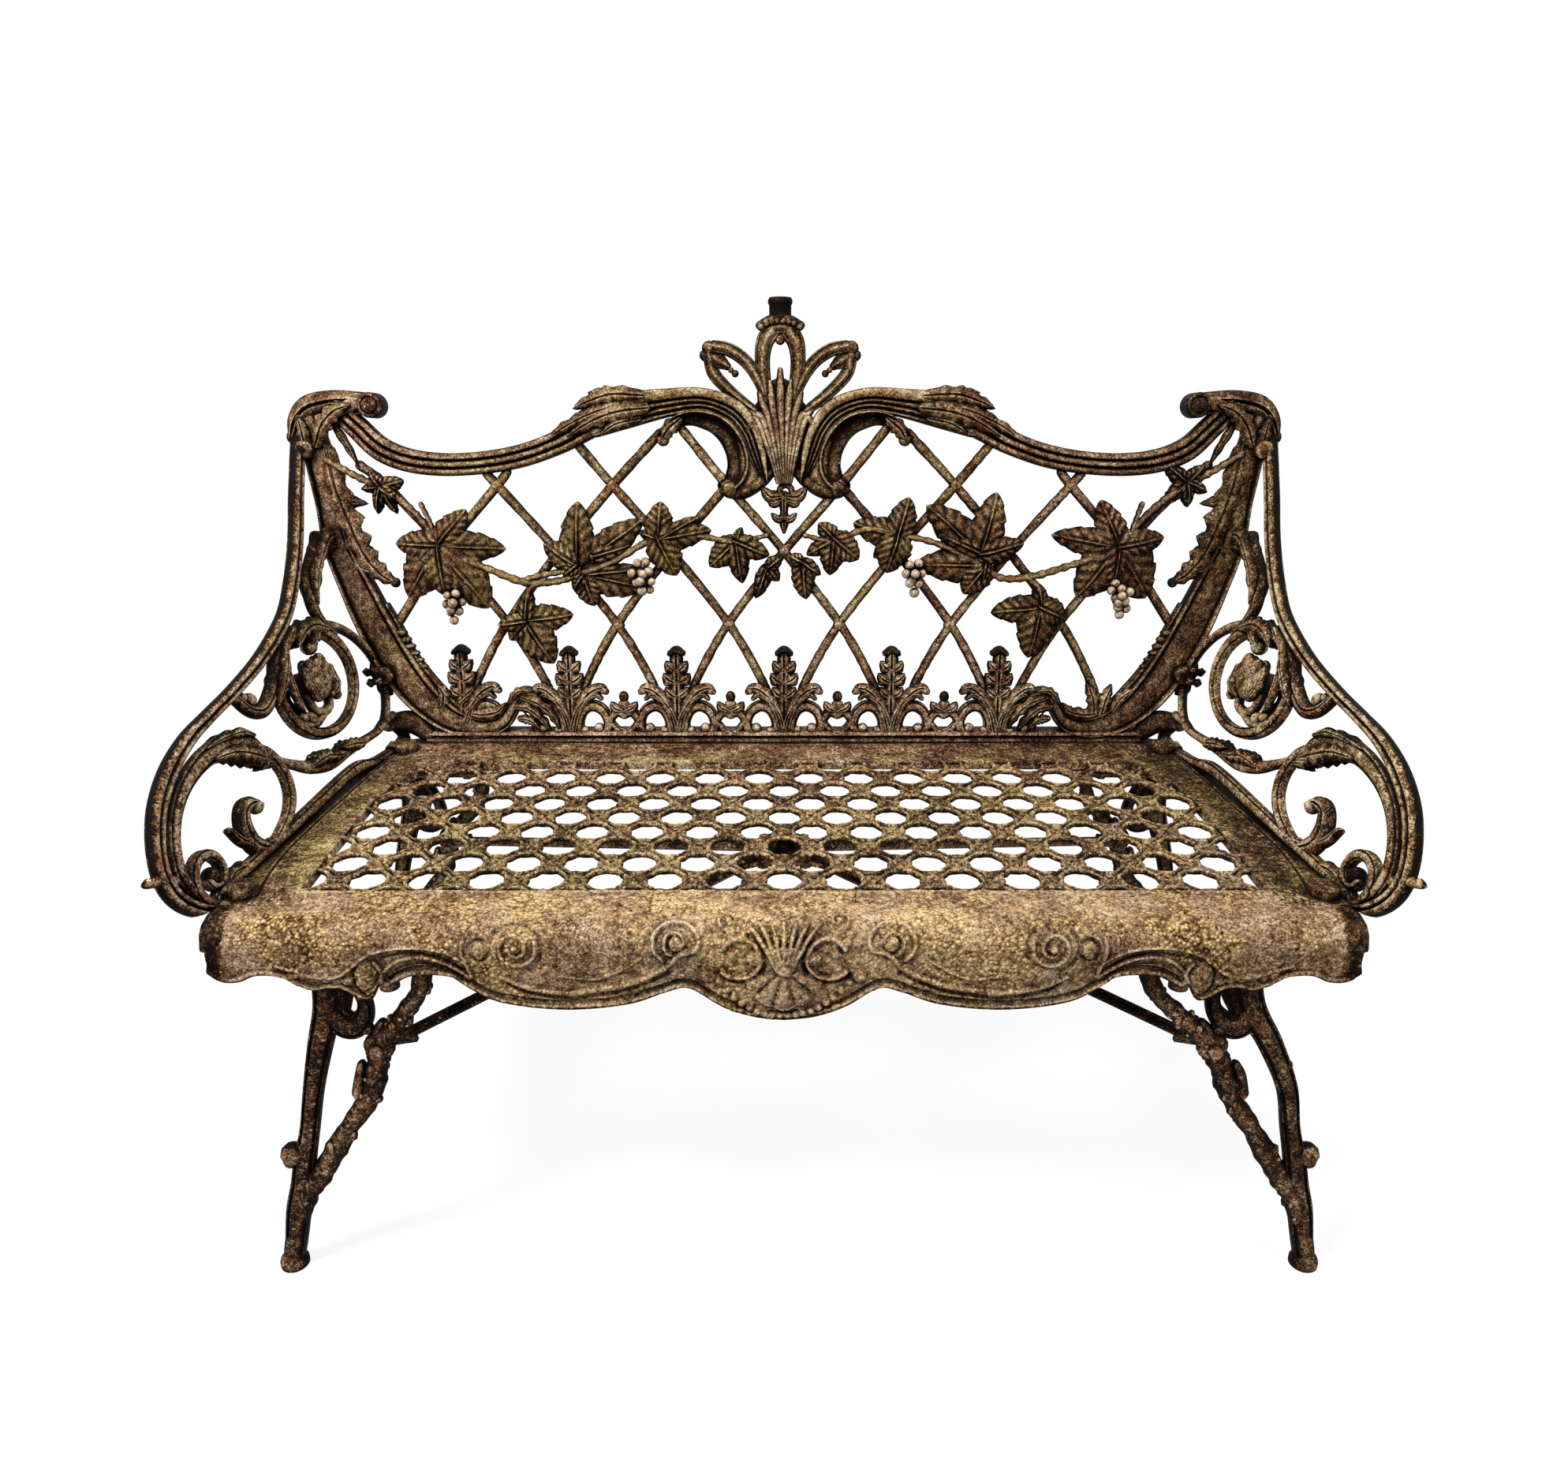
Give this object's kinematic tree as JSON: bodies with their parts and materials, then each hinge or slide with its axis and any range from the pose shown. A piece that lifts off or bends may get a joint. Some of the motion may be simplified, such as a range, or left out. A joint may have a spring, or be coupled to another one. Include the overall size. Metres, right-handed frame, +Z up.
{
  "type": "garden bench",
  "caption": "Cast iron garden bench with a vine trellis back, open scroll arms, pierced seat with a shaped apron and branch legs tied by stays.",
  "frame": {"origin": "on the floor, at the middle of the bench's bounding box in plan", "axes": "+Z up; the front of the bench faces -Y and its width runs along X, +X to the right of a viewer in front"},
  "size_m": [1.218, 0.585, 0.9636],
  "materials": {
    "frame_iron": "worn rust-brown paint with moss",
    "seat_iron": "weathered, covered in ochre lichen",
    "leg_iron": "dark, rusted",
    "fixings": "rusted"
  },
  "bodies": {
    "root": {"back_panel": "frame_iron", "seat_panel": "seat_iron", "arm_left": "frame_iron", "arm_right": "frame_iron", "leg_front_left": "leg_iron", "leg_front_right": "leg_iron", "leg_back_left": "leg_iron", "leg_back_right": "leg_iron", "stay_front_left": "leg_iron", "stay_front_right": "leg_iron", "stay_back_left": "leg_iron", "stay_back_right": "leg_iron", "centre_disc": "leg_iron", "centre_bolt": "fixings", "centre_washer": "fixings", "eye_bolts": "fixings", "eye_nuts": "fixings", "joint_bolts": "fixings", "joint_nuts": "fixings", "leg_bolts": "fixings", "leg_washers": "fixings", "back_bolts": "fixings", "back_washers": "fixings", "arm_seat_bolts": "fixings", "arm_seat_washers": "fixings", "arm_back_bolts": "fixings", "arm_back_washers": "fixings"}
  },
  "joints": []
}
